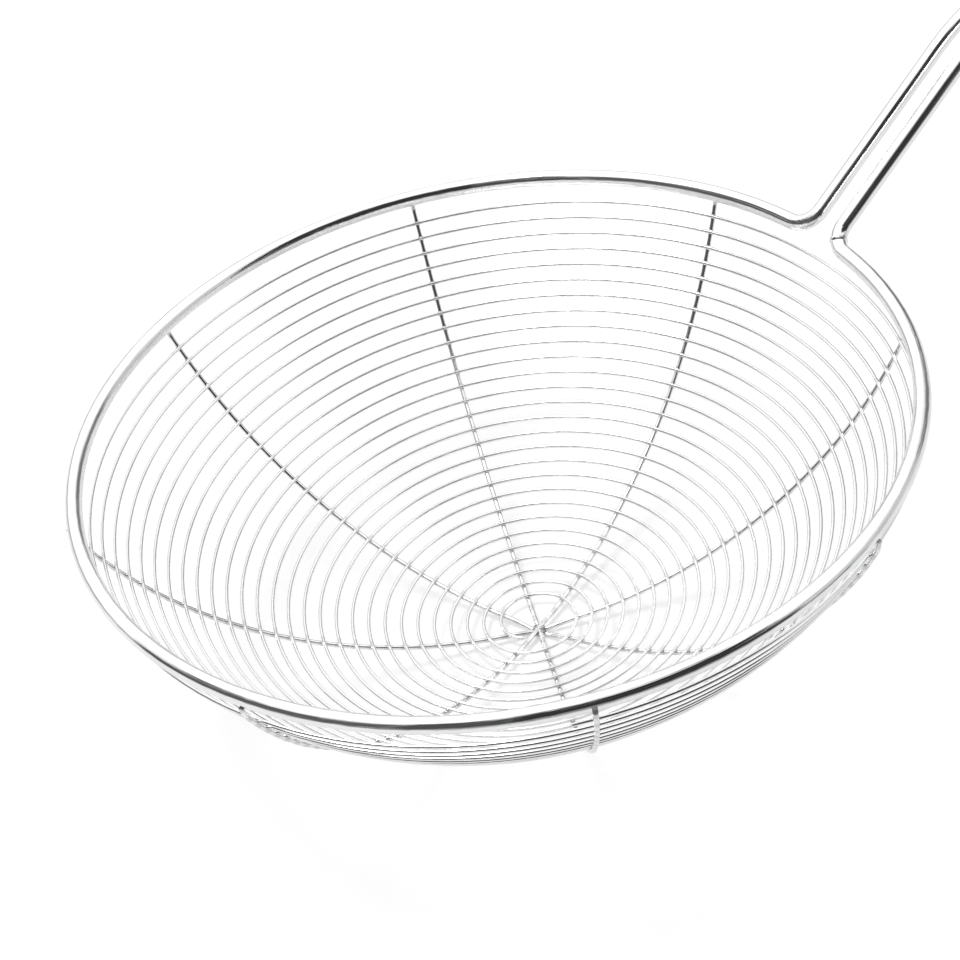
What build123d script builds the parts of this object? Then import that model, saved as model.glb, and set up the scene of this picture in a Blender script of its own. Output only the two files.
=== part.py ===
# Spider skimmer: a round wire bowl with a rising two-wire handle.
# The whole tool is round wire held by welds: one heavy frame wire that makes the rim and
# the handle, four rib wires that cross under the middle of the bowl, one fine wire wound
# from the middle to the rim on the inside of the ribs, and two weld beads.
# Millimetres. +Z points up out of the open bowl and the handle runs towards +X. The origin
# is the middle of the underside of the box round the whole tool, so the bowl stands on Z = 0.

import os
from math import acos, asin, atan2, cos, hypot, pi, radians, sin, sqrt, tan

from build123d import *

os.makedirs("parts", exist_ok=True)

# Overall sizes
rim_outside_d = 200.0
overall_length = 400.0

# Wires
frame_wire_d = 4.0
rib_wire_d = 1.2
spiral_wire_d = 0.9

# Bowl section, a round one: depth and radius in rim radii, both at the middle of the fine wire
bowl_depth_share = 0.6611
bowl_round_share = 1.1202

# How far welded wires are pressed into each other
spiral_weld_sink = 0.15
rim_weld_sink = 0.55

# Ribs. The angles are those of a rib's two ends at the rim, from the handle. They are the
# hand-laid ones, so not quite even, and the four cross a little off the bowl's centre. The
# first lies on top there, the last lowest. Under the rim each rib bends upright, and its
# cut end is welded to the lower outside of the rim wire. One near end is longer and laps
# the rim wire.
rib_a_near_angle = 203.3
rib_a_far_angle = 20.6
rib_b_near_angle = 247.5
rib_b_far_angle = 67.5
rib_c_near_angle = 336.5
rib_c_far_angle = 156.6
rib_d_near_angle = 291.3
rib_d_far_angle = 111.1
hub_off_centre_x = 0.7
hub_off_centre_y = -1.7
hub_dip_length = 8.0
hub_level_height = 0.5
rim_bend_r = 3.0
rib_end_slope_angle = 77.0
rib_end_below_rim_middle = 1.3
rib_with_long_end = "b"
long_end_above_rim_middle = 0.6

# Wound wire, from its inner end to its outer end, seen from above winding clockwise. The
# winding starts off the bowl's centre and comes true towards the rim, and its inner end is
# tucked in towards the hub.
spiral_start_r = 7.66
spiral_start_angle = 208.6
spiral_turns = 27.9
spiral_end_below_rim_middle = 5.2
winding_off_centre_x = 1.1
winding_off_centre_y = 0.5
inner_tuck_depth = 1.3
inner_tuck_turns = 0.4
biarcs_per_turn = 4
least_self_gap = 0.4

# Handle
handle_gap = 4.8
neck_bend_r = 6.0
rise_angle = 35.0
rise_length = 53.5
handle_bend_r = 43.0
handle_angle = 10.0
hanging_eye_d = 16.0
eye_shoulder_r = 10.0

# Weld beads
hub_weld_d = 3.4
hub_weld_melt = 0.2
neck_weld_length = 1.7
neck_weld_height = 0.3
neck_weld_root = 0.4

# Radii and positions that follow
frame_wire_r = frame_wire_d / 2
rib_wire_r = rib_wire_d / 2
spiral_wire_r = spiral_wire_d / 2
rim_r = rim_outside_d / 2 - frame_wire_r
bowl_depth = bowl_depth_share * rim_r
spiral_round_r = bowl_round_share * rim_r
bowl_centre_z = spiral_round_r - bowl_depth
rib_round_r = spiral_round_r + spiral_wire_r + rib_wire_r - spiral_weld_sink

# Each rib leaves the round section where a bend upright takes its end to the outside of the
# rim wire. Angles along the section are polar ones, from straight down at the bowl's centre.
rim_from_centre = hypot(rim_r, bowl_centre_z)
rim_polar = atan2(rim_r, bowl_centre_z)
rib_off_rim = frame_wire_r + rib_wire_r - rim_weld_sink
end_slope = radians(rib_end_slope_angle)
end_off_centre = rib_off_rim + rim_from_centre * cos(rim_polar - end_slope)
leave_polar = end_slope - acos((end_off_centre - rim_bend_r) / (rib_round_r - rim_bend_r))

# Heights of the ribs where they cross, from the top one down, against the round section
ribs = {
    "a": (rib_a_near_angle, rib_a_far_angle),
    "b": (rib_b_near_angle, rib_b_far_angle),
    "c": (rib_c_near_angle, rib_c_far_angle),
    "d": (rib_d_near_angle, rib_d_far_angle),
}
hub_offsets = [hub_level_height * (1 - order) for order in range(len(ribs))]
lowest_point = bowl_centre_z - rib_round_r + hub_offsets[-1] - rib_wire_r

# Position of the middle of the rim in the tool's frame
rim_z = -lowest_point
bowl_x = rim_outside_d / 2 - overall_length / 2


def place(x, y, z):
    """A point given from the middle of the rim, in the tool's frame."""
    return Vector(bowl_x + x, y, rim_z + z)


def on_round(round_r, polar, side):
    """Point and outward direction on a round section that lies in the given upright plane."""
    up = Vector(0, 0, 1)
    point = place(0, 0, bowl_centre_z) + side * (round_r * sin(polar)) - up * (round_r * cos(polar))
    return point, side * cos(polar) + up * sin(polar)


def biarc(start, start_dir, end, end_dir):
    """Two arcs that leave and arrive in the given directions and meet smoothly."""
    chord = end - start
    turn = start_dir + end_dir
    spread = 2 * (1 - start_dir.dot(end_dir))
    along = chord.dot(turn)
    reach = (-along + sqrt(along * along + spread * chord.dot(chord))) / spread
    meet = (start + start_dir * reach + end - end_dir * reach) * 0.5
    meet_dir = (end - end_dir * reach - start - start_dir * reach).normalized()
    TangentArc(start, meet, tangent=start_dir)
    TangentArc(meet, end, tangent=meet_dir)


# Frame wire. The left half runs from the back of the rim to the tip of the hanging eye.
handle_spacing = handle_gap + frame_wire_d
rise = radians(rise_angle)
slope = radians(handle_angle)
rise_dir = Vector(cos(rise), 0, sin(rise))
slope_dir = Vector(cos(slope), 0, sin(slope))

neck_polar = asin((handle_spacing / 2 + neck_bend_r) / rim_r)
for _ in range(8):
    neck_turn = acos(sin(neck_polar) * cos(rise))
    neck_run = neck_bend_r * tan(neck_turn / 2)
    neck_polar = asin((handle_spacing / 2 + neck_run * cos(neck_polar)) / rim_r)
neck_in_dir = Vector(sin(neck_polar), -cos(neck_polar), 0)
neck_start = place(rim_r * cos(neck_polar), rim_r * sin(neck_polar), 0)
neck_end = neck_start + (neck_in_dir + rise_dir) * neck_run
bend_start = neck_end + rise_dir * (rise_length - neck_run)
bend_end = bend_start + Vector(sin(rise) - sin(slope), 0, cos(slope) - cos(rise)) * handle_bend_r

eye_r = hanging_eye_d / 2 + frame_wire_r
shoulder_y = handle_spacing / 2 + eye_shoulder_r
eye_ahead = sqrt((eye_r + eye_shoulder_r) ** 2 - shoulder_y**2)
tip_x = bowl_x + overall_length - rim_outside_d / 2 - frame_wire_r
straight_run = (tip_x - bend_end.X) / cos(slope) - eye_ahead - eye_r
shoulder_start = bend_end + slope_dir * straight_run
shoulder_share = eye_shoulder_r / (eye_r + eye_shoulder_r)
shoulder_end = (
    shoulder_start
    + slope_dir * (eye_ahead * shoulder_share)
    + Vector(0, eye_shoulder_r - shoulder_y * shoulder_share, 0)
)
eye_tip = shoulder_start + slope_dir * (eye_ahead + eye_r) - Vector(0, handle_spacing / 2, 0)

with BuildPart() as frame_wire:
    with BuildLine():
        half_way = (pi + neck_polar) / 2
        rim_arc = ThreePointArc(
            place(-rim_r, 0, 0),
            place(rim_r * cos(half_way), rim_r * sin(half_way), 0),
            neck_start,
        )
        neck_bend = TangentArc(neck_start, neck_end, tangent=neck_in_dir)
        Line(neck_end, bend_start)
        TangentArc(bend_start, bend_end, tangent=rise_dir)
        Line(bend_end, shoulder_start)
        shoulder = TangentArc(shoulder_start, shoulder_end, tangent=slope_dir)
        TangentArc(shoulder_end, eye_tip, tangent=shoulder % 1)
    with BuildSketch(Plane(origin=rim_arc @ 0, z_dir=rim_arc % 0)):
        Circle(frame_wire_r)
    sweep()
    mirror(about=Plane.XZ)
frame_wire.part.label = "frame_wire"
export_step(frame_wire.part, "parts/frame_wire.step")

# Rib wires, each bent to the bowl's section and dipped at the hub to pass the others. The
# two halves of a rib stand on upright planes that meet at the hub.
hub_polar = hub_dip_length / rib_round_r
hub_from_centre = Vector(hub_off_centre_x, hub_off_centre_y, 0)


def half_rib(angle, end_height):
    """Half a rib from the hub out: a point and direction for each stage of its bending."""
    up = Vector(0, 0, 1)
    rim_end = Vector(cos(radians(angle)), sin(radians(angle)), 0) * rim_r
    side = (rim_end - hub_from_centre).normalized()
    along = side.dot(hub_from_centre)
    sideways = hub_from_centre - side * along

    def on_rib(polar):
        point, direction = on_round(rib_round_r, polar, side)
        return point + sideways, direction

    hub = on_rib(along / rib_round_r)
    dip = on_rib(along / rib_round_r + hub_polar)
    middle = on_rib(leave_polar / 2)
    leave = on_rib(leave_polar)
    out_at_leave = side * sin(leave_polar) - up * cos(leave_polar)
    out_at_end = side * sin(end_slope) - up * cos(end_slope)
    bend = leave[0] + (out_at_end - out_at_leave) * rim_bend_r
    straight = side * cos(end_slope) + up * sin(end_slope)
    end = bend + straight * ((rim_z + end_height - bend.Z) / sin(end_slope))
    return hub, dip, middle, leave, (bend, straight), (end, straight)


for (letter, (near_angle, far_angle)), offset in zip(ribs.items(), hub_offsets):
    near_height = -rib_end_below_rim_middle
    if letter == rib_with_long_end:
        near_height = long_end_above_rim_middle
    near_hub, near_dip, near_middle, near_leave, near_bend, near_end = half_rib(
        near_angle, near_height
    )
    far_hub, far_dip, far_middle, far_leave, far_bend, far_end = half_rib(
        far_angle, -rib_end_below_rim_middle
    )
    hub_point = (near_hub[0] + far_hub[0]) * 0.5 + Vector(0, 0, offset)
    hub_dir = (far_hub[1] - near_hub[1]).normalized()

    with BuildPart() as rib_wire:
        with BuildLine():
            first = Line(near_end[0], near_bend[0])
            TangentArc(near_bend[0], near_leave[0], tangent=near_bend[1] * -1)
            ThreePointArc(near_leave[0], near_middle[0], near_dip[0])
            biarc(near_dip[0], near_dip[1] * -1, hub_point, hub_dir)
            biarc(hub_point, hub_dir, *far_dip)
            ThreePointArc(far_dip[0], far_middle[0], far_leave[0])
            TangentArc(far_leave[0], far_bend[0], tangent=far_leave[1])
            Line(far_bend[0], far_end[0])
        with BuildSketch(Plane(origin=first @ 0, z_dir=first % 0)):
            Circle(rib_wire_r)
        sweep()
    rib_wire.part.label = "rib_wire_" + letter
    export_step(rib_wire.part, "parts/rib_wire_" + letter + ".step")
    print(letter, "volume", round(rib_wire.part.volume, 2))

# Wound wire, one unbroken spiral on the inside of the ribs
start_arc = spiral_round_r * asin(spiral_start_r / spiral_round_r)
end_arc = spiral_round_r * acos((bowl_centre_z + spiral_end_below_rim_middle) / spiral_round_r)
spiral_pitch = (end_arc - start_arc) / spiral_turns
look_turns = 0.001


def wound_point(turns):
    """Point on the middle of the wound wire, so many turns from its inner end."""
    angle = radians(spiral_start_angle) - 2 * pi * turns
    out = Vector(cos(angle), sin(angle), 0)
    arc = start_arc + spiral_pitch * turns
    off_centre = winding_off_centre_x * cos(angle) + winding_off_centre_y * sin(angle)
    tucked = inner_tuck_depth * max(1 - turns / inner_tuck_turns, 0) ** 2
    from_middle = arc + off_centre * (1 - arc / end_arc) - tucked
    return on_round(spiral_round_r, from_middle / spiral_round_r, out)[0]


def spiral_point(turns):
    """Point on the middle of the wound wire, and its direction there."""
    ahead = wound_point(turns + look_turns) - wound_point(turns - look_turns)
    return wound_point(turns), ahead.normalized()


spans = round(spiral_turns * biarcs_per_turn)
with BuildPart() as spiral_wire:
    with BuildLine() as spiral_path:
        for span in range(spans):
            biarc(
                *spiral_point(spiral_turns * span / spans),
                *spiral_point(spiral_turns * (span + 1) / spans),
            )
    spiral_start, spiral_dir = spiral_point(0)
    with BuildSketch(Plane(origin=spiral_start, z_dir=spiral_dir)):
        Ellipse(spiral_wire_r, spiral_wire_r)
    sweep()
spiral_wire.part.label = "spiral_wire"
export_step(spiral_wire.part, "parts/spiral_wire.step")

# Weld nugget at the hub, a flattened round bead in the crossing of the four ribs
hub_high = bowl_centre_z - rib_round_r + hub_offsets[0]
hub_low = bowl_centre_z - rib_round_r + hub_offsets[-1]
hub_middle = place(hub_off_centre_x, hub_off_centre_y, (hub_high + hub_low) / 2)
hub_weld_half = (hub_high - hub_low) / 2 + hub_weld_melt
with BuildPart() as hub_weld:
    with BuildSketch(Plane(origin=hub_middle, x_dir=(1, 0, 0), z_dir=(0, -1, 0))):
        with BuildLine():
            flat = hub_weld_d / 2 - hub_weld_half
            Line((0, -hub_weld_half), (flat, -hub_weld_half))
            ThreePointArc((flat, -hub_weld_half), (hub_weld_d / 2, 0), (flat, hub_weld_half))
            Line((flat, hub_weld_half), (0, hub_weld_half))
            Line((0, hub_weld_half), (0, -hub_weld_half))
        make_face()
    revolve(axis=Axis(hub_middle, (0, 0, 1)))
hub_weld.part.label = "hub_weld"
export_step(hub_weld.part, "parts/hub_weld.step")

# Weld collar round the butt joint, half way round the right-hand neck bend
joint = neck_bend @ 0.5
joint_dir = neck_bend % 0.5
joint_plane = Plane(
    origin=(joint.X, -joint.Y, joint.Z), z_dir=(joint_dir.X, -joint_dir.Y, joint_dir.Z)
)
collar_edge_r = frame_wire_r - neck_weld_height / 3
with BuildPart() as neck_weld:
    with BuildSketch(joint_plane.offset(-neck_weld_length / 2)):
        Circle(collar_edge_r)
    with BuildSketch(joint_plane):
        Circle(frame_wire_r + neck_weld_height)
    with BuildSketch(joint_plane.offset(neck_weld_length / 2)):
        Circle(collar_edge_r)
    loft()
    with BuildSketch(joint_plane.offset(-neck_weld_length / 2)):
        Circle(frame_wire_r - neck_weld_root)
    extrude(amount=neck_weld_length, mode=Mode.SUBTRACT)
neck_weld.part.label = "neck_weld"
export_step(neck_weld.part, "parts/neck_weld.step")

# What the wound wire came to
wire_length = sum(edge.length for edge in spiral_path.edges())
straight_volume = pi * spiral_wire_r**2 * wire_length
steps_per_turn = 60
samples = [
    spiral_point(turn / steps_per_turn)[0]
    for turn in range(int(spiral_turns * steps_per_turn) + 1)
]
self_gap = min(
    (samples[i] - samples[j]).length
    for i in range(len(samples))
    for j in range(i + steps_per_turn // 2, min(i + 2 * steps_per_turn, len(samples)))
) - spiral_wire_d
print("wound wire: pitch", round(spiral_pitch, 3), "length", round(wire_length, 1))
print("volume against section times length", round(spiral_wire.part.volume / straight_volume, 5))
print("least gap of the wound wire to itself", round(self_gap, 3), self_gap > least_self_gap)
print("arcs", len(spiral_path.edges()))
print("least radius", round(min(edge.radius for edge in spiral_path.edges()), 2))

# Places that the record gives
print("size", [round(n, 2) for n in frame_wire.part.bounding_box().size])
print("middle of the rim", round(bowl_x, 3), round(rim_z, 3))
print("bowl section: centre", round(bowl_centre_z, 3), "radius", round(spiral_round_r, 3))
print("hanging eye", eye_tip - slope_dir * eye_r)
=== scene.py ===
# Looks of the spider skimmer: bright drawn wire, its weld marks, a white table and soft light.
from math import cos, pi, radians, sin

import bpy
from mathutils import Matrix, Vector

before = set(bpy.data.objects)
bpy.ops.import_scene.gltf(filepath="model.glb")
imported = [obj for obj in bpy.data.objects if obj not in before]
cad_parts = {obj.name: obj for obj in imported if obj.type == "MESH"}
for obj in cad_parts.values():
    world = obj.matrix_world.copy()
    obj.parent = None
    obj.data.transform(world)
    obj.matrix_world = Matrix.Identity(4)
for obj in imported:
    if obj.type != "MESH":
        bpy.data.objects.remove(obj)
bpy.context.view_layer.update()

# Sizes of the part that the looks follow, in metres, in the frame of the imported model
BOWL_X = -0.1
RIM_Z = 0.067288
RIM_R = 0.098
BALL_R = 0.10978
BALL_Z = RIM_Z + 0.044992
RIB_ENDS = {
    "a": (203.3, 20.6),
    "b": (247.5, 67.5),
    "c": (336.5, 156.6),
    "d": (291.3, 111.1),
}
HUB = Vector((BOWL_X + 0.0007, -0.0017, 0))
UP = Vector((0, 0, 1))


def towards(azimuth):
    """The level direction of an azimuth in degrees."""
    return Vector((cos(radians(azimuth)), sin(radians(azimuth)), 0))


def half_rib_side(angle):
    """The level direction from the hub to a rib's end at the rim."""
    rim_end = Vector((BOWL_X, 0, 0)) + RIM_R * towards(angle)
    return (rim_end - HUB).normalized()


HALF_RIBS = {angle: half_rib_side(angle) for ends in RIB_ENDS.values() for angle in ends}

# The winding, as arc lengths over the bowl from its lowest point
WINDING_ANGLE = 208.6
WINDING_TURNS = 27.9
WINDING_START = 0.0076662
WINDING_PITCH = 0.0040380
WINDING_END = WINDING_START + WINDING_PITCH * WINDING_TURNS
WINDING_OFF_X = 0.0011
WINDING_OFF_Y = 0.0005

# Where the noise of the wires turns into fine lines and into scratches, and how far from the
# neck the lines of the rim and of the handle run into each other
LINES = (0.38, 0.64)
SCRATCHES = (0.56, 0.66)
NECK_BLEND = 0.004


# Nodes of the materials

class Graph:
    """A small hand for laying out the nodes of one material, world or group."""

    def __init__(self, tree):
        self.tree = tree

    def add(self, kind, **settings):
        made = self.tree.nodes.new(kind)
        for name, value in settings.items():
            setattr(made, name, value)
        return made

    def join(self, source, socket):
        """Feeds a socket from another node's output, or sets it to a plain value."""
        if isinstance(source, bpy.types.NodeSocket):
            self.tree.links.new(source, socket)
        else:
            socket.default_value = source

    def math(self, operation, *values, clamp=False):
        made = self.add("ShaderNodeMath", operation=operation, use_clamp=clamp)
        for value, socket in zip(values, made.inputs):
            self.join(value, socket)
        return made.outputs[0]

    def dot(self, vector, direction):
        made = self.add("ShaderNodeVectorMath", operation="DOT_PRODUCT")
        self.join(vector, made.inputs[0])
        self.join(tuple(direction), made.inputs[1])
        return made.outputs["Value"]

    def slant(self, across, along):
        """The long side of a right-angled triangle."""
        across = self.math("MULTIPLY", across, across)
        along = self.math("MULTIPLY", along, along)
        return self.math("SQRT", self.math("ADD", across, along))

    def blend(self, factor, first, second):
        """One value or the other, by a factor."""
        made = self.add("ShaderNodeMix", data_type="FLOAT")
        self.join(factor, made.inputs["Factor"])
        self.join(first, made.inputs["A"])
        self.join(second, made.inputs["B"])
        return made.outputs["Result"]

    def ramp(self, value, low, high, from_value=0.0, to_value=1.0):
        """Turns a value from low to high softly into a value from one end to the other."""
        made = self.add("ShaderNodeMapRange", interpolation_type="SMOOTHSTEP")
        for socket, given in zip(made.inputs[:5], (value, low, high, from_value, to_value)):
            self.join(given, socket)
        return made.outputs[0]

    def noise(self, vector, scale, detail=2.0, roughness=0.5):
        made = self.add("ShaderNodeTexNoise")
        self.join(vector, made.inputs["Vector"])
        self.join(scale, made.inputs["Scale"])
        made.inputs["Detail"].default_value = detail
        made.inputs["Roughness"].default_value = roughness
        return made.outputs["Fac"]

    def vector(self, x, y, z):
        made = self.add("ShaderNodeCombineXYZ")
        for value, socket in zip((x, y, z), made.inputs):
            self.join(value, socket)
        return made.outputs[0]

    def mix(self, factor, first, second):
        """One colour or the other, by a factor."""
        made = self.add("ShaderNodeMix", data_type="RGBA")
        self.join(factor, made.inputs["Factor"])
        self.join(first, made.inputs["A"])
        self.join(second, made.inputs["B"])
        return made.outputs["Result"]

    def place(self):
        """Where a point of the surface lies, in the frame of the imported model."""
        return self.add("ShaderNodeTexCoord").outputs["Object"]

    def parts(self, vector):
        made = self.add("ShaderNodeSeparateXYZ")
        self.join(vector, made.inputs[0])
        return made.outputs

    def use(self, group, **values):
        """Puts a group in, with its own values, and gives its outputs by name."""
        made = self.add("ShaderNodeGroup", node_tree=group)
        for name, value in values.items():
            self.join(value, made.inputs[name.replace("_", " ").capitalize()])
        return made.outputs


def new_group(name, inputs, outputs):
    """A node group with plain values in and plain values out."""
    tree = bpy.data.node_groups.new(name, "ShaderNodeTree")
    for socket, value in inputs.items():
        made = tree.interface.new_socket(socket, in_out="INPUT", socket_type="NodeSocketFloat")
        made.default_value = value
    for socket in outputs:
        tree.interface.new_socket(socket, in_out="OUTPUT", socket_type="NodeSocketFloat")
    graph = Graph(tree)
    taken = graph.add("NodeGroupInput").outputs
    given = graph.add("NodeGroupOutput").inputs
    return tree, graph, taken, given


def around_the_bowl(graph):
    """Distance from the bowl's axis, height, angle and place over the ball of the bowl."""
    place = graph.place()
    x, y, z = graph.parts(place)
    out = graph.math("SUBTRACT", x, BOWL_X)
    reach = graph.slant(out, y)
    angle = graph.math("ARCTAN2", y, out)
    below = graph.math("SUBTRACT", BALL_Z, z)
    polar = graph.math("ARCTAN2", reach, below)
    ball = graph.slant(reach, below)
    return x, y, z, reach, angle, polar, ball


def drawn_lines_group():
    """Fine lines and scratches along the frame wire, round the rim and up the handle."""
    tree, graph, taken, given = new_group(
        "drawn_lines", {"Fineness": 4000.0, "Run": 0.03}, ["Lines", "Scratches"]
    )
    x, y, z, reach, angle, polar, ball = around_the_bowl(graph)
    fine, run = taken["Fineness"], taken["Run"]
    on_rim = graph.vector(
        graph.math("MULTIPLY", reach, fine),
        graph.math("MULTIPLY", z, fine),
        graph.math("DIVIDE", graph.math("MULTIPLY", angle, RIM_R), run),
    )
    on_handle = graph.vector(
        graph.math("MULTIPLY", y, fine), 0.0, graph.math("DIVIDE", x, run)
    )
    rim = graph.noise(on_rim, 1.0, 2.0, 0.6)
    handle = graph.noise(on_handle, 1.0, 2.0, 0.6)
    on_the_handle = graph.ramp(x, -NECK_BLEND, NECK_BLEND)
    both = graph.blend(on_the_handle, rim, handle)
    graph.join(graph.ramp(both, *LINES), given["Lines"])
    graph.join(graph.ramp(both, *SCRATCHES), given["Scratches"])
    return tree


def wound_lines_group():
    """Fine lines along the wound wire."""
    tree, graph, taken, given = new_group(
        "wound_lines", {"Fineness": 6000.0, "Run": 0.02}, ["Lines"]
    )
    x, y, z, reach, angle, polar, ball = around_the_bowl(graph)
    along = graph.vector(
        graph.math("MULTIPLY", ball, taken["Fineness"]),
        graph.math(
            "MULTIPLY", graph.math("MULTIPLY", polar, BALL_R), taken["Fineness"]
        ),
        graph.math("DIVIDE", graph.math("MULTIPLY", angle, reach), taken["Run"]),
    )
    graph.join(graph.ramp(graph.noise(along, 1.0, 2.0, 0.6), *LINES), given["Lines"])
    return tree


def rib_lines_group():
    """Fine lines along a rib wire that stands at an angle, in radians."""
    tree, graph, taken, given = new_group(
        "rib_lines", {"Angle": 0.0, "Fineness": 6000.0, "Run": 0.02}, ["Lines"]
    )
    x, y, z, reach, angle, polar, ball = around_the_bowl(graph)
    aside = graph.math(
        "SUBTRACT",
        graph.math("MULTIPLY", y, graph.math("COSINE", taken["Angle"])),
        graph.math(
            "MULTIPLY", graph.math("SUBTRACT", x, BOWL_X), graph.math("SINE", taken["Angle"])
        ),
    )
    along = graph.vector(
        graph.math("MULTIPLY", aside, taken["Fineness"]),
        graph.math("MULTIPLY", ball, taken["Fineness"]),
        graph.math("DIVIDE", graph.math("MULTIPLY", polar, BALL_R), taken["Run"]),
    )
    graph.join(graph.ramp(graph.noise(along, 1.0, 2.0, 0.6), *LINES), given["Lines"])
    return tree


def hand_bent_group():
    """Slow unevenness of a wire that was bent over a former, as a height from 0 to 1."""
    tree, graph, taken, given = new_group("hand_bent", {"Waves": 60.0}, ["Height"])
    place = graph.place()
    slow = graph.noise(place, taken["Waves"], 1.0, 0.4)
    quick = graph.noise(place, graph.math("MULTIPLY", taken["Waves"], 5.0), 1.0, 0.4)
    graph.join(
        graph.math("ADD", graph.math("MULTIPLY", slow, 0.8), graph.math("MULTIPLY", quick, 0.2)),
        given["Height"],
    )
    return tree


def handling_group():
    """Where handling and washing have dulled the metal, and small pits in it."""
    tree, graph, taken, given = new_group(
        "handling", {"Patches": 45.0, "Pits": 2600.0}, ["Dull", "Pitted"]
    )
    place = graph.place()
    patches = graph.noise(place, taken["Patches"], 4.0, 0.6)
    pits = graph.noise(place, taken["Pits"], 1.0, 0.5)
    graph.join(graph.ramp(patches, 0.42, 0.68), given["Dull"])
    graph.join(graph.ramp(pits, 0.70, 0.78), given["Pitted"])
    return tree


def rib_welds_group():
    """Heat marks on the wound wire, where it crosses the ribs."""
    tree, graph, taken, given = new_group(
        "rib_welds", {"Core": 0.0005, "Reach": 0.0016}, ["Mark"]
    )
    place = graph.place()
    from_hub = graph.add("ShaderNodeVectorMath", operation="SUBTRACT")
    graph.join(place, from_hub.inputs[0])
    graph.join(tuple(HUB), from_hub.inputs[1])
    nearest = None
    for side in HALF_RIBS.values():
        far = graph.math("ABSOLUTE", graph.dot(from_hub.outputs[0], side.cross(UP)))
        behind = graph.math("LESS_THAN", graph.dot(from_hub.outputs[0], side), 0.0)
        far = graph.math("ADD", far, behind)
        nearest = far if nearest is None else graph.math("MINIMUM", nearest, far)
    graph.join(graph.ramp(nearest, taken["Core"], taken["Reach"], 1.0, 0.0), given["Mark"])
    return tree


def turn_welds_group():
    """Heat marks on the ribs, where the turns of the wound wire cross them."""
    tree, graph, taken, given = new_group(
        "turn_welds", {"Core": 0.0005, "Reach": 0.0014}, ["Mark"]
    )
    x, y, z, reach, angle, polar, ball = around_the_bowl(graph)
    arc = graph.math("MULTIPLY", polar, BALL_R)
    off = graph.math(
        "ADD",
        graph.math("MULTIPLY", graph.math("COSINE", angle), WINDING_OFF_X),
        graph.math("MULTIPLY", graph.math("SINE", angle), WINDING_OFF_Y),
    )
    fade = graph.math("SUBTRACT", 1.0, graph.math("DIVIDE", arc, WINDING_END))
    centred = graph.math("SUBTRACT", arc, graph.math("MULTIPLY", off, fade))
    from_start = graph.math("SUBTRACT", centred, WINDING_START)
    turned = graph.math("DIVIDE", graph.math("SUBTRACT", radians(WINDING_ANGLE), angle), 2 * pi)
    apart = graph.math("SUBTRACT", graph.math("DIVIDE", from_start, WINDING_PITCH), turned)
    share = graph.math("FRACT", graph.math("ADD", apart, 0.5))
    near = graph.math("ABSOLUTE", graph.math("SUBTRACT", share, 0.5))
    far = graph.math("MULTIPLY", near, WINDING_PITCH)
    graph.join(graph.ramp(far, taken["Core"], taken["Reach"], 1.0, 0.0), given["Mark"])
    return tree


drawn_lines = drawn_lines_group()
wound_lines = wound_lines_group()
rib_lines = rib_lines_group()
hand_bent = hand_bent_group()
handling = handling_group()
rib_welds = rib_welds_group()
turn_welds = turn_welds_group()

BRIGHT = (0.93, 0.932, 0.936, 1.0)
DULLED = (0.80, 0.80, 0.805, 1.0)
HEAT_MARK = (0.11, 0.105, 0.10, 1.0)
WELD_METAL = (0.46, 0.455, 0.45, 1.0)
WELD_SCALE = (0.20, 0.19, 0.185, 1.0)

# How far dullness and pits go into the colour of bright wire, and what its dull patches, its
# scratches and its heat marks add to the roughness
DULL_SHARE = 0.5
PIT_SHARE = 0.35
DULL_ROUGHNESS = 0.05
SCRATCH_ROUGHNESS = 0.26
HEAT_ROUGHNESS = 0.22

# How dark the heat marks get, and the heights between which a rib's end turns burnt
WOUND_WIRE_HEAT = 0.17
RIB_HEAT = 0.24
BURNT_ENDS = (RIM_Z - 0.0021, RIM_Z - 0.0009)

# The lump of the butt joint in the right-hand neck bend
NECK_LUMP = (-0.0013, -0.0077, 0.0697)
LUMP_UNEVENNESS = 0.0006
LUMP_DEPTH = 0.0003


def new_material(name):
    material = bpy.data.materials.new(name)
    material.use_nodes = True
    graph = Graph(material.node_tree)
    shader = material.node_tree.nodes["Principled BSDF"]
    shader.inputs["Metallic"].default_value = 1.0
    return material, graph, shader


def bump(graph, shader, *layers):
    """Puts layers of height, each with its depth in metres, on the surface."""
    below = None
    for height, depth in layers:
        made = graph.add("ShaderNodeBump")
        made.inputs["Strength"].default_value = 1.0
        made.inputs["Distance"].default_value = depth
        graph.join(height, made.inputs["Height"])
        if below is not None:
            graph.join(below, made.inputs["Normal"])
        below = made.outputs["Normal"]
    graph.join(below, shader.inputs["Normal"])


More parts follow.
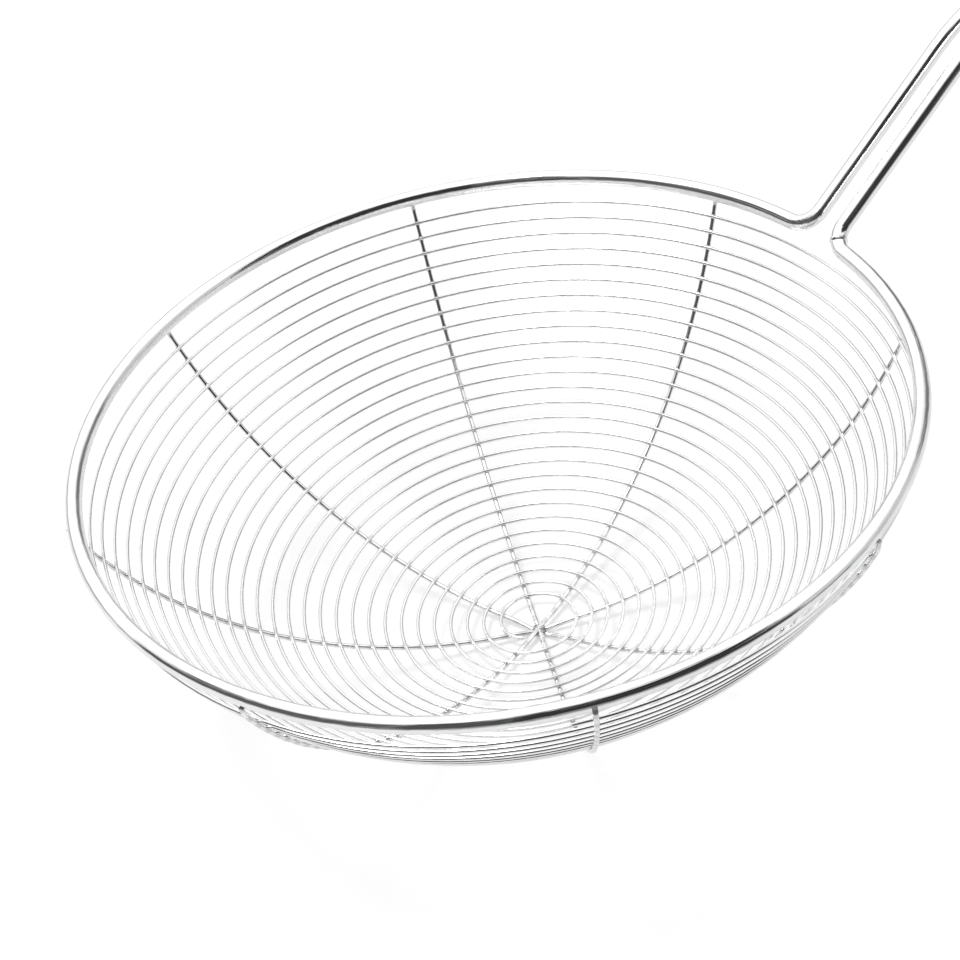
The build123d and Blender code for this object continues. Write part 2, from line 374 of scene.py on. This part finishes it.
def bright_wire(name, lines, mark, line_depth, bend_depth, roughness):
    """Bright drawn wire. lines and mark put the fine lines and the heat marks on."""
    material, graph, shader = new_material(name)
    drawn = lines(graph)
    fine = drawn["Lines"]
    worn = graph.use(handling)
    heat = mark(graph)
    dulled = graph.math("MULTIPLY", worn["Dull"], DULL_SHARE)
    colour = graph.mix(dulled, BRIGHT, DULLED)
    pitted = graph.math("MULTIPLY", worn["Pitted"], PIT_SHARE)
    colour = graph.mix(pitted, colour, WELD_METAL)
    colour = graph.mix(heat, colour, HEAT_MARK)
    graph.join(colour, shader.inputs["Base Color"])
    rough = graph.math("ADD", graph.math("MULTIPLY", fine, roughness), roughness)
    rough = graph.math("ADD", rough, graph.math("MULTIPLY", worn["Dull"], DULL_ROUGHNESS))
    if "Scratches" in drawn:
        scratched = graph.math("MULTIPLY", drawn["Scratches"], SCRATCH_ROUGHNESS)
        rough = graph.math("ADD", rough, scratched)
    heated = graph.math("MULTIPLY", heat, HEAT_ROUGHNESS)
    rough = graph.math("ADD", rough, heated, clamp=True)
    graph.join(rough, shader.inputs["Roughness"])
    bend = graph.use(hand_bent)["Height"]
    bump(graph, shader, (bend, bend_depth), (fine, line_depth))
    return material


def weld_metal(name, grain, depth):
    """Melted and cooled metal: dull, scaled and lumpy."""
    material, graph, shader = new_material(name)
    place = graph.place()
    lumps = graph.noise(place, grain, 3.0, 0.6)
    scale = graph.ramp(graph.noise(place, grain * 1.7, 2.0, 0.5), 0.40, 0.66)
    rough = graph.math("ADD", graph.math("MULTIPLY", scale, 0.25), 0.22)
    graph.join(graph.mix(scale, WELD_METAL, WELD_SCALE), shader.inputs["Base Color"])
    graph.join(rough, shader.inputs["Roughness"])
    bump(graph, shader, (lumps, depth))
    return material


def put_on(node, material):
    """Gives every slot of a CAD node its material."""
    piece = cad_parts[node]
    piece.data.materials.clear()
    piece.data.materials.append(material)
    for polygon in piece.data.polygons:
        polygon.material_index = 0


def rib_marks(graph):
    """Heat where the turns cross a rib, and a burnt end where it is cut beside the rim."""
    turns = graph.math("MULTIPLY", graph.use(turn_welds)["Mark"], RIB_HEAT)
    height = graph.parts(graph.place())[2]
    burnt = graph.ramp(height, *BURNT_ENDS)
    return graph.math("MAXIMUM", turns, burnt)


def neck_joint(name, spot, core, reach):
    """The butt joint: bright wire all round, with a dull lump of weld metal at one spot.

    The lump is full up to core from the spot and ends at reach.
    """
    material, graph, shader = new_material(name)
    place = graph.place()
    away = graph.add("ShaderNodeVectorMath", operation="DISTANCE")
    graph.join(place, away.inputs[0])
    graph.join(spot, away.inputs[1])
    uneven = graph.math("MULTIPLY", graph.noise(place, 1500.0, 2.0, 0.5), LUMP_UNEVENNESS)
    away = graph.math("ADD", away.outputs["Value"], uneven)
    lump = graph.ramp(away, core, reach, 1.0, 0.0)
    scale = graph.ramp(graph.noise(place, 1900.0, 2.0, 0.5), 0.40, 0.66)
    colour = graph.mix(lump, BRIGHT, graph.mix(scale, WELD_METAL, WELD_SCALE))
    rough = graph.math("ADD", graph.math("MULTIPLY", lump, 0.30), 0.06)
    grain = graph.math("MULTIPLY", graph.noise(place, 1100.0, 3.0, 0.6), lump)
    graph.join(colour, shader.inputs["Base Color"])
    graph.join(rough, shader.inputs["Roughness"])
    bump(graph, shader, (grain, LUMP_DEPTH))
    return material


put_on("frame_wire", bright_wire(
    "bright_frame_wire",
    lambda graph: graph.use(drawn_lines, fineness=3000.0, run=0.03),
    lambda graph: 0.0,
    line_depth=0.000008,
    bend_depth=0.00008,
    roughness=0.035,
))
put_on("spiral_wire", bright_wire(
    "bright_wound_wire",
    lambda graph: graph.use(wound_lines, fineness=9000.0, run=0.02),
    lambda graph: graph.math("MULTIPLY", graph.use(rib_welds)["Mark"], WOUND_WIRE_HEAT),
    line_depth=0.0000010,
    bend_depth=0.00004,
    roughness=0.085,
))
for letter, ends in RIB_ENDS.items():
    put_on("rib_wire_" + letter, bright_wire(
        "bright_rib_wire_" + letter,
        lambda graph: graph.use(rib_lines, angle=radians(ends[1]), fineness=8000.0, run=0.02),
        rib_marks,
        line_depth=0.0000012,
        bend_depth=0.00004,
        roughness=0.05,
    ))
put_on("hub_weld", weld_metal("hub_weld_metal", 900.0, 0.00025))
put_on("neck_weld", neck_joint("neck_joint_metal", NECK_LUMP, core=0.0010, reach=0.0017))


# Table, surroundings and light

# Colours of the white table and of its painted reflection past the board's edge, how much it
# glows to the camera near the part and far from it, and how much in reflections
TABLE_WHITE = (0.82, 0.82, 0.82, 1.0)
# Dark grey that only reflection rays see past the board's edge: a painted reflection
DARK_IN_REFLECTIONS_PAST_EDGE = (0.34, 0.34, 0.34, 1.0)
TABLE_GLOW = 0.36
FAR_TABLE_GLOW = 0.52
FAR_TABLE = (0.35, 1.6)
TABLE_GLOW_MIRRORED = 0.12

# The table is a white board. Its front edge, as azimuth in degrees and distance from the
# bowl's axis, shows only in reflections: past it the table is painted dark grey for reflection
# rays alone, a painted reflection on the bright wire.
BOARD_EDGE_AZIMUTH = 255.0
BOARD_EDGE_DISTANCE = 0.25
BOARD_EDGE_SOFT = 0.03

TABLE_HALF = 3.0
corners = [(-1, -1), (1, -1), (1, 1), (-1, 1)]
corners = [(across * TABLE_HALF, along * TABLE_HALF, 0) for across, along in corners]
table_mesh = bpy.data.meshes.new("table")
table_mesh.from_pydata(corners, [], [(0, 1, 2, 3)])
table = bpy.data.objects.new("table", table_mesh)
bpy.context.scene.collection.objects.link(table)
table_paint = bpy.data.materials.new("white_table")
table_paint.use_nodes = True
graph = Graph(table_paint.node_tree)
table_paint.node_tree.nodes.clear()
path = graph.add("ShaderNodeLightPath").outputs
place = graph.place()
edge = towards(BOARD_EDGE_AZIMUTH)
reach = graph.math("ADD", graph.dot(place, edge), -BOWL_X * edge.x)
past_edge = graph.ramp(reach, BOARD_EDGE_DISTANCE, BOARD_EDGE_DISTANCE + BOARD_EDGE_SOFT)
# Past the edge, reflection rays see the table painted dark grey: a painted reflection on the
# wire
mirrored_edge = graph.math("MULTIPLY", past_edge, path["Is Glossy Ray"])
paint = graph.add("ShaderNodeBsdfDiffuse")
graph.join(graph.mix(mirrored_edge, TABLE_WHITE, DARK_IN_REFLECTIONS_PAST_EDGE), paint.inputs["Color"])
from_bowl = graph.add("ShaderNodeVectorMath", operation="LENGTH")
graph.join(place, from_bowl.inputs[0])
shine = graph.ramp(from_bowl.outputs["Value"], *FAR_TABLE, TABLE_GLOW, FAR_TABLE_GLOW)
seen = graph.math("MULTIPLY", path["Is Camera Ray"], shine)
also = graph.math("ADD", path["Is Glossy Ray"], path["Is Transmission Ray"], clamp=True)
also = graph.math("MULTIPLY", also, TABLE_GLOW_MIRRORED)
also = graph.math("MULTIPLY", also, graph.math("SUBTRACT", 1.0, past_edge))
glow = graph.add("ShaderNodeEmission")
graph.join(graph.math("ADD", seen, also), glow.inputs["Strength"])
both = graph.add("ShaderNodeAddShader")
graph.join(paint.outputs[0], both.inputs[0])
graph.join(glow.outputs[0], both.inputs[1])
graph.join(both.outputs[0], graph.add("ShaderNodeOutputMaterial").inputs["Surface"])
table_mesh.materials.append(table_paint)

# Darker parts of the room that the bright wire mirrors, each with its middle azimuth and half
# width, middle elevation and half height and soft edge in degrees, and its brightness
ROOM_PANELS = (
    (172.0, 34.0, 14.0, 32.0, 8.0, 0.11),
    (219.0, 15.0, 22.0, 34.0, 8.0, 0.08),
    (268.0, 37.0, 29.0, 33.0, 8.0, 0.035),
    (332.0, 26.0, 8.0, 24.0, 10.0, 0.62),
    (18.0, 22.0, 8.0, 22.0, 10.0, 0.20),
)
# The grey foot of the walls: middle elevation, half height where full and where it ends, in
# degrees, and brightness
HORIZON = (3.0, 2.0, 11.0, 0.42)
# Brightness of the rest of the room in reflections, and of all of it as light on dull surfaces
WHITE_ROOM = 1.16
FILL = 0.60
WHITE = (1.0, 1.0, 1.0, 1.0)


world = bpy.data.worlds.new("white_room")
bpy.context.scene.world = world
world.use_nodes = True
graph = Graph(world.node_tree)
world.node_tree.nodes.clear()
direction = graph.add("ShaderNodeTexCoord").outputs["Generated"]
height = graph.math("ARCSINE", graph.parts(direction)[2])
height = graph.math("MULTIPLY", height, 180 / pi)
middle, full, edge, grey = HORIZON
from_horizon = graph.math("ABSOLUTE", graph.math("SUBTRACT", height, middle))
band = graph.ramp(from_horizon, full, edge, 1.0, 0.0)
brightness = graph.blend(band, WHITE_ROOM, grey)
for azimuth, half_width, elevation, half_height, soft, dark in ROOM_PANELS:
    ahead = graph.dot(direction, towards(azimuth))
    aside = graph.dot(direction, towards(azimuth + 90))
    turned = graph.math("ABSOLUTE", graph.math("ARCTAN2", aside, ahead))
    turned = graph.math("MULTIPLY", turned, 180 / pi)
    across = graph.ramp(turned, half_width - soft / 2, half_width + soft / 2, 1.0, 0.0)
    raised = graph.math("ABSOLUTE", graph.math("SUBTRACT", height, elevation))
    upright = graph.ramp(raised, half_height - soft, half_height + soft, 1.0, 0.0)
    brightness = graph.blend(graph.math("MULTIPLY", across, upright), brightness, dark)
path = graph.add("ShaderNodeLightPath").outputs
mirrored = graph.blend(path["Is Glossy Ray"], FILL, brightness)
shown = graph.blend(path["Is Camera Ray"], mirrored, 1.0)
sky = graph.add("ShaderNodeBackground")
graph.join(WHITE, sky.inputs["Color"])
graph.join(shown, sky.inputs["Strength"])
graph.join(sky.outputs[0], graph.add("ShaderNodeOutputWorld").inputs["Surface"])


def soft_lamp(name, place, aim, size, power):
    """A round lamp of a size in metres and a power in watts, turned to its aim."""
    lamp = bpy.data.lights.new(name, "AREA")
    lamp.shape = "DISK"
    lamp.size = size
    lamp.energy = power
    made = bpy.data.objects.new(name, lamp)
    bpy.context.scene.collection.objects.link(made)
    made.location = place
    made.rotation_euler = (Vector(aim) - Vector(place)).to_track_quat("-Z", "Y").to_euler()


soft_lamp("soft_lamp_overhead", (-0.30, 0.25, 1.1), (BOWL_X, 0, 0), size=0.5, power=5.0)

# Camera, at the photograph's place
camera_right = Vector((0.81342882, -0.55984087, -0.15783461))
camera_down = Vector((-0.46210859, -0.45719396, -0.75988771))
camera_ahead = Vector((0.35325517, 0.69105129, -0.63060201))
camera_place = Vector((-0.228559 + BOWL_X, -0.435410, 0.382716 + RIM_Z))
lens = bpy.data.cameras.new("camera")
lens.sensor_fit = "HORIZONTAL"
lens.sensor_width = 36.0
lens.lens = 101.659
lens.clip_start = 0.01
camera = bpy.data.objects.new("camera", lens)
bpy.context.scene.collection.objects.link(camera)
turn = Matrix((camera_right, -camera_down, -camera_ahead)).transposed().to_4x4()
camera.matrix_world = Matrix.Translation(camera_place) @ turn
bpy.context.scene.camera = camera
bpy.context.scene.view_settings.view_transform = "Standard"
